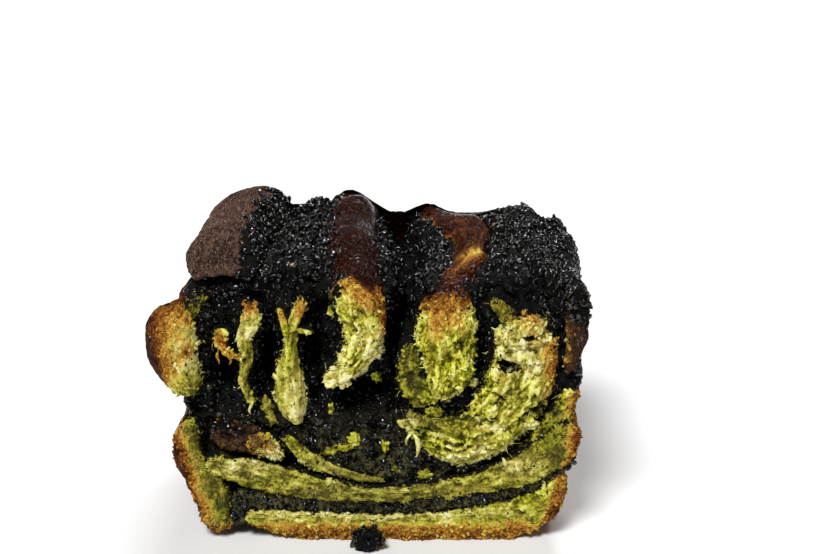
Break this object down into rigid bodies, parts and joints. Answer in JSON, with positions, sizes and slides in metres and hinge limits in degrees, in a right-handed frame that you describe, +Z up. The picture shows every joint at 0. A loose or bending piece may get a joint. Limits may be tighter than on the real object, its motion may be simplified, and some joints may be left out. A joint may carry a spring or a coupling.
{
  "type": "babka",
  "caption": "Torn half of a babka: green dough strands and thin layers round a black sesame filling, with a glazed top and a crusted heel, resting on its flat bottom crust.",
  "frame": {"origin": "middle of the underside, where the bottom crust rests", "axes": "+Z up; the torn face looks along -Y and the crusted heel along +Y; +X runs from the side with the torn knob to the side with the broad lobe"},
  "size_m": [0.1334, 0.1081, 0.0952],
  "materials": {
    "green_crumb": "matte, open crumb",
    "golden_crust": "matte, baked crust",
    "glazed_crust": "dark glazed crust",
    "sesame_filling": "moist ground seeds, slightly glossy"
  },
  "bodies": {
    "root": {"dough_bottom_layer": "golden_crust", "dough_second_layer": "green_crumb", "dough_thin_leaf": "green_crumb", "dough_seeded_lump": "golden_crust", "dough_left_knob": "golden_crust", "dough_strand_a": "green_crumb", "dough_strand_b": "green_crumb", "dough_lobe_crescent": "glazed_crust", "dough_lobe_middle": "green_crumb", "dough_lobe_right": "green_crumb", "dough_right_wall": "glazed_crust", "dough_left_shoulder": "glazed_crust", "dough_heel": "golden_crust", "filling_upper": "sesame_filling", "filling_lower": "sesame_filling", "filling_clot": "sesame_filling"}
  },
  "joints": []
}
